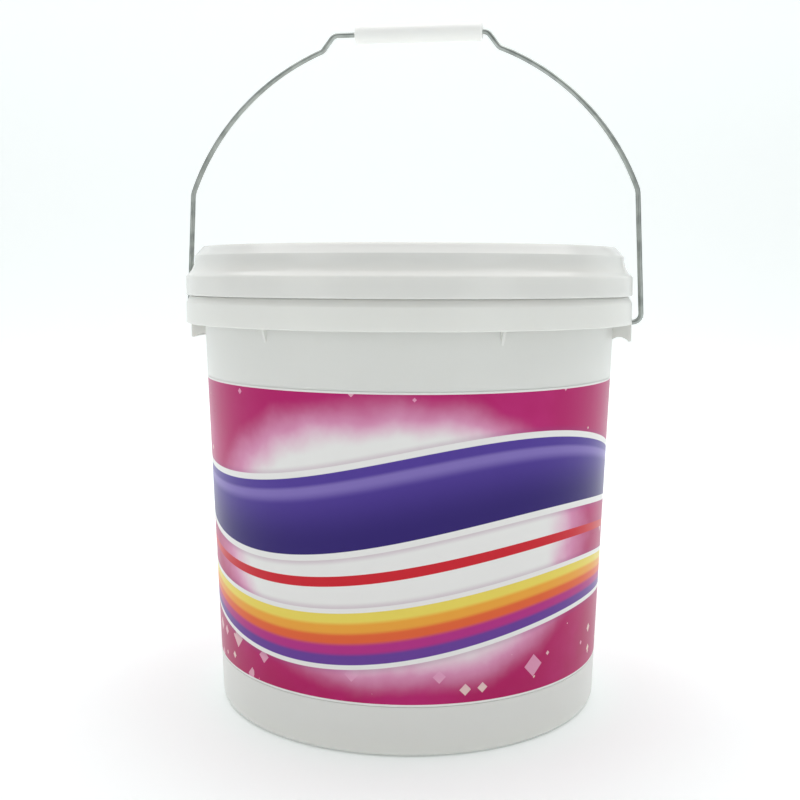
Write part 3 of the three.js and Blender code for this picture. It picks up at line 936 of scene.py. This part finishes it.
# %% The ground of the print
GLOW_HALF_WIDTH = 112.0
GLOW_HALF_HEIGHT = 70.0
GLOW_MIDDLE = 86.0
GLOW_RAGGEDNESS = 0.3
GLOW_TINT = (0.74, 0.34, 0.54, 1)
LOW_MAGENTA = (0.44, 0.010, 0.115, 1)
HIGH_MAGENTA = (0.46, 0.008, 0.138, 1)
PALE_MAGENTA = (0.505, 0.019, 0.175, 1)
PINK_DIAMOND = (0.80, 0.36, 0.56, 1)
CREAM_DIAMOND = (0.88, 0.80, 0.66, 1)
DIAMOND_CELL = 15.0
DIAMOND_SCATTER = 0.7
DIAMOND_SIZE_HIGH_UP = 0.2
DIAMOND_SIZE_LOW_DOWN = 0.62


def glow_distance(finish, across, up, cloud):
    """About 1 on the ragged rim of the glow, and less inside."""
    x = finish.sum("DIVIDE", across, GLOW_HALF_WIDTH)
    y = finish.sum("DIVIDE", finish.sum("SUBTRACT", up, GLOW_MIDDLE), GLOW_HALF_HEIGHT)
    squares = finish.sum("ADD", finish.sum("MULTIPLY", x, x), finish.sum("MULTIPLY", y, y))
    even = finish.sum("SUBTRACT", finish.sum("SQRT", squares), GLOW_RAGGEDNESS / 2)
    return finish.sum("MULTIPLY_ADD", cloud, GLOW_RAGGEDNESS, even)


def diamonds(finish, across, up, ink):
    """Diamonds scattered on the ground, larger low down."""
    where = finish.node("ShaderNodeCombineXYZ", X=across, Y=up)
    cells = finish.tree.nodes.new("ShaderNodeTexVoronoi")
    cells.distance = "MANHATTAN"
    cells.inputs["Scale"].default_value = 1 / DIAMOND_CELL
    cells.inputs["Randomness"].default_value = DIAMOND_SCATTER
    finish.put(where, cells.inputs["Vector"])
    picks = finish.tree.nodes.new("ShaderNodeSeparateColor")
    finish.put(cells.outputs["Color"], picks.inputs[0])
    growth = DIAMOND_SIZE_LOW_DOWN - DIAMOND_SIZE_HIGH_UP
    largest = finish.sum("MULTIPLY_ADD", finish.fade(up, 130.0, 5.0), growth, DIAMOND_SIZE_HIGH_UP)
    size = finish.sum("MULTIPLY", picks.outputs["Red"], largest)
    inside = finish.sum("SUBTRACT", size, cells.outputs["Distance"])
    tint = finish.mix(picks.outputs["Green"], PINK_DIAMOND, CREAM_DIAMOND)
    return finish.mix(finish.sum("MULTIPLY", finish.fade(inside, 0.0, 0.015), 0.8), ink, tint)


def print_ground(finish, across, up):
    """The magenta, then the diamonds, then the glow in two steps from pink to white."""
    cloud = finish.noise(26.0, 4.0)
    deep = finish.mix(finish.fade(up, 0.0, 150.0), LOW_MAGENTA, HIGH_MAGENTA)
    ink = finish.mix(finish.fade(cloud, 0.4, 0.8), deep, PALE_MAGENTA)
    ink = diamonds(finish, across, up, ink)
    glow = glow_distance(finish, across, up, cloud)
    ink = finish.mix(finish.fade(glow, 1.22, 0.92), ink, GLOW_TINT)
    return finish.mix(finish.fade(glow, 1.02, 0.80), ink, WHITE_INK)


# %% [markdown]
# A broad wave is printed in three goes: a soft shadow on the ground, a white keyline a few millimetres
# wider than the wave, and the wave's own colour on top. The order matters, since each covers the one
# before. The waves swell towards the front, so they look like ribbons that come round the pail.

# %% The waves
DEEP_VIOLET = (0.030, 0.014, 0.16, 1)
LIGHT_VIOLET = (0.085, 0.045, 0.32, 1)
VIOLET_GLEAM = (0.36, 0.28, 0.66, 1)
WAVE_RED = (0.62, 0.016, 0.03, 1)
WAVE_SHADOW = (0.30, 0.06, 0.22, 1)
SHADOW_WIDTH = 3.5
EDGE_BLUR = 0.15
STRIPE_COLOURS = (
    (0.14, 0.05, 0.32, 1),
    (0.46, 0.03, 0.24, 1),
    (0.78, 0.13, 0.04, 1),
    (0.86, 0.38, 0.05, 1),
    (0.84, 0.68, 0.12, 1),
)


def print_wave(finish, ink, inside, keyline, colour):
    """Lays a wave on the ink: its shadow, its white keyline and its colour."""
    shadow = finish.sum("MULTIPLY", finish.fade(inside, -keyline - SHADOW_WIDTH, -keyline), 0.3)
    ink = finish.mix(shadow, ink, WAVE_SHADOW)
    ink = finish.mix(finish.fade(inside, -keyline - EDGE_BLUR, -keyline + EDGE_BLUR), ink, WHITE_INK)
    return finish.mix(finish.fade(inside, -EDGE_BLUR, EDGE_BLUR), ink, colour)


def violet_wave(finish, across, up, ink):
    """The broad wave, lighter towards its top and with a gleam along it."""
    inside, share = wave(finish, across, up, middle=110.0, swing=13.0, phase=0.1, thick=44.0, thin=8.0)
    violet = finish.mix(finish.fade(share, 0.1, 0.9), DEEP_VIOLET, LIGHT_VIOLET)
    gleam = finish.sum("MULTIPLY", finish.fade(share, 0.66, 0.8), finish.fade(share, 0.9, 0.84))
    violet = finish.mix(finish.sum("MULTIPLY", gleam, 0.5), violet, VIOLET_GLEAM)
    return print_wave(finish, ink, inside, keyline=3.4, colour=violet)


def red_wave(finish, across, up, ink):
    """The thin wave, printed straight on the ground."""
    inside = wave(finish, across, up, middle=75.0, swing=11.0, phase=-0.25, thick=5.6, thin=2.0)[0]
    return finish.mix(finish.fade(inside, -EDGE_BLUR, EDGE_BLUR), ink, WAVE_RED)


def striped_wave(finish, across, up, ink):
    """The wave whose stripes run from violet at its foot to yellow at its top."""
    inside, share = wave(finish, across, up, middle=45.0, swing=11.0, phase=-0.55, thick=29.0, thin=8.0)
    stripes = STRIPE_COLOURS[0]
    for i, colour in enumerate(STRIPE_COLOURS[1:], start=1):
        edge = i / len(STRIPE_COLOURS)
        stripes = finish.mix(finish.fade(share, edge - 0.05, edge + 0.05), stripes, colour)
    return print_wave(finish, ink, inside, keyline=2.6, colour=stripes)


print("the striped wave has", len(STRIPE_COLOURS), "colours")

# %% [markdown]
# The whole print is the ground, then the three waves, then the narrow white border that a printer leaves so
# that a film cut a little askew still looks straight. The film mirrors less than the bare plastic round it,
# and has a fine grain and faint level scuffs.

# %% The whole print
FILM_IOR = 1.5
FILM_GRAIN_DEPTH = 0.03 * MM
BORDER_WIDTH = 1.0
BORDER_BLUR = 0.2


def printed_film():
    """The finish of the film: its print, its gloss and its fine grain."""
    finish = Finish("printed_film")
    across, up = flat_coordinates(finish)
    ink = print_ground(finish, across, up)
    ink = violet_wave(finish, across, up, ink)
    ink = red_wave(finish, across, up, ink)
    ink = striped_wave(finish, across, up, ink)
    from_middle = finish.sum("ABSOLUTE", finish.sum("SUBTRACT", up, FILM_HEIGHT / 2))
    print_half = FILM_HEIGHT / 2 - BORDER_WIDTH
    ink = finish.mix(finish.fade(from_middle, print_half - BORDER_BLUR, print_half), ink, WHITE_INK)
    scuffs = finish.fade(finish.noise(1.0, 4.0, finish.stretched(60.0, 60.0, 900.0), 0.7), 0.62, 0.75)
    finish.set(Base_Color=ink, Roughness=finish.sum("MULTIPLY_ADD", scuffs, 0.12, 0.3), IOR=FILM_IOR)
    finish.set(Specular_IOR_Level=0.16)
    finish.bump(finish.noise(420.0, 2.0), 0.2, FILM_GRAIN_DEPTH)
    return finish


dress(film, printed_film(), "pail", "label")
print("print has", len(film.data.materials[0].node_tree.nodes), "nodes")

# %% [markdown]
# ## Floor, light and camera
#
# The photograph is a high-key shot: an almost white sweep, big soft lights all round and hardly any
# shadow. The sweep is a floor that curves up into a wall, so no horizon shows behind the pail. It glows a
# little, more so far from the pail, which burns the background out but leaves the shadow near the foot.
# Its back is see-through, so that the underside of the pail can be looked at from below.

# %% The sweep
PAIL_TURN = math.radians(8.0)
SWEEP_FRONT = 12.0
SWEEP_BACK = 2.2
SWEEP_BEND = 1.2
SWEEP_HEIGHT = 4.0
SWEEP_HALF_WIDTH = 12.0
SWEEP_STEPS = 24
NEAR_GLOW = 0.13
FAR_GLOW = 0.38
GLOW_STARTS = 0.15
GLOW_FULL = 1.1


def sweep_line():
    """The sweep seen from the side, in metres: the floor, a quarter bend and the wall behind."""
    line = [Vector((-SWEEP_FRONT, 0)), Vector((SWEEP_BACK, 0))]
    for i in range(1, SWEEP_STEPS + 1):
        angle = math.pi / 2 * i / SWEEP_STEPS
        line.append(Vector((SWEEP_BACK + SWEEP_BEND * math.sin(angle), SWEEP_BEND * (1 - math.cos(angle)))))
    line.append(Vector((SWEEP_BACK + SWEEP_BEND, SWEEP_HEIGHT)))
    return line


def studio_paper():
    """Almost white paper that glows more the further it is from the pail, and is clear from behind."""
    paper = Finish("studio_paper")
    tone = paper.mix(paper.noise(0.6, 1.0), (0.90, 0.93, 0.925, 1), (0.915, 0.93, 0.935, 1))
    distance = paper.tree.nodes.new("ShaderNodeVectorMath")
    distance.operation = "LENGTH"
    paper.put(paper.place(), distance.inputs[0])
    far_off = paper.fade(distance.outputs["Value"], GLOW_STARTS, GLOW_FULL)
    glow = paper.sum("MULTIPLY_ADD", far_off, FAR_GLOW - NEAR_GLOW, NEAR_GLOW)
    paper.set(Base_Color=tone, Roughness=0.6, Emission_Color=(0.95, 1.0, 1.0, 1), Emission_Strength=glow)
    behind = paper.node("ShaderNodeNewGeometry", out="Backfacing")
    paper.set(Alpha=paper.sum("SUBTRACT", 1.0, behind))
    return paper


def studio_sweep():
    """The sweep as one strip of faces, square to the camera."""
    line = sweep_line()

    def fill(shape):
        sides = (-SWEEP_HALF_WIDTH, SWEEP_HALF_WIDTH)
        rows = [[shape.verts.new((x, p.x, p.y)) for p in line] for x in sides]
        for i in range(len(line) - 1):
            shape.faces.new((rows[0][i], rows[1][i], rows[1][i + 1], rows[0][i + 1]))

    sweep = new_object("studio_sweep", fill)
    if sweep.data.polygons[0].normal.z < 0:
        sweep.data.flip_normals()
    sweep.data.transform(Matrix.Rotation(PAIL_TURN, 4, "Z"))
    sweep.data.shade_smooth()
    sweep.data.materials.append(studio_paper().material)
    return sweep


sweep = studio_sweep()
print("sweep is", round(2 * SWEEP_HALF_WIDTH), "m wide, with", len(sweep.data.polygons), "faces")

# %% [markdown]
# Large area lights make the soft shading. A very broad one hangs overhead, so that its reflection runs all
# along the lid's shoulder and crease, and two dimmer ones stand in front at the sides. The world adds an
# even fill, as white studio walls would.

# %% Lights and world
LIGHT_TARGET = Vector((0, 0, 0.18))
WORLD_STRENGTH = 0.39


def soft_light(name, place, size, power, colour=(1.0, 1.0, 1.0)):
    """A rectangular lamp, with its size in metres and its power in watts, aimed at the pail."""
    lamp = bpy.data.lights.new(name, "AREA")
    lamp.shape = "RECTANGLE"
    lamp.size, lamp.size_y = size
    lamp.energy = power
    lamp.color = colour
    holder = bpy.data.objects.new(name, lamp)
    bpy.context.scene.collection.objects.link(holder)
    holder.location = place
    aim = LIGHT_TARGET - Vector(place)
    holder.rotation_euler = aim.to_track_quat("-Z", "Y").to_euler()
    return holder


soft_light("overhead_light", place=(0.0, 0.25, 1.9), size=(3.2, 2.0), power=37.0)
soft_light("left_light", place=(-1.5, -1.7, 0.7), size=(1.0, 1.4), power=3.8, colour=(1.0, 0.985, 0.96))
soft_light("right_light", place=(1.7, -1.6, 0.7), size=(1.0, 1.4), power=3.8, colour=(0.99, 1.0, 0.98))

world = bpy.data.worlds.new("studio_world")
world.use_nodes = True
surroundings = world.node_tree.nodes["Background"]
surroundings.inputs["Color"].default_value = (0.97, 0.99, 0.98, 1)
surroundings.inputs["Strength"].default_value = WORLD_STRENGTH
bpy.context.scene.world = world
bpy.context.scene.view_settings.view_transform = "Standard"
print("lights:", [lamp.name for lamp in bpy.data.lights])

# %% [markdown]
# The camera stands close, a little above the middle of the pail and looking slightly down, which is why
# the lower edge of the print curves so much more than the rim. Its place was found by fitting those
# curves. The pail is turned by eight degrees, with its right ear nearer.

# %% Camera
CAMERA_DISTANCE = 0.678
CAMERA_HEIGHT = 0.2575
CAMERA_SIDE = -0.0054
CAMERA_PITCH = math.radians(6.5)
CAMERA_ROLL = 0.003
FOCAL_PIXELS = 1093.4
FRAME_PIXELS = 800
SENSOR_WIDTH = 36.0

camera_data = bpy.data.cameras.new("photo_camera")
camera_data.sensor_width = SENSOR_WIDTH
camera_data.lens = FOCAL_PIXELS * SENSOR_WIDTH / FRAME_PIXELS
camera = bpy.data.objects.new("photo_camera", camera_data)
bpy.context.scene.collection.objects.link(camera)
around = Matrix.Rotation(PAIL_TURN, 4, "Z")
stand = Matrix.Translation((CAMERA_SIDE, -CAMERA_DISTANCE, CAMERA_HEIGHT))
look = Matrix.Rotation(math.pi / 2 - CAMERA_PITCH, 4, "X") @ Matrix.Rotation(CAMERA_ROLL, 4, "Z")
camera.matrix_world = around @ stand @ look
bpy.context.scene.camera = camera
print("camera at", [round(value, 4) for value in camera.matrix_world.translation], "m")
print("lens", round(camera_data.lens, 2), "mm")
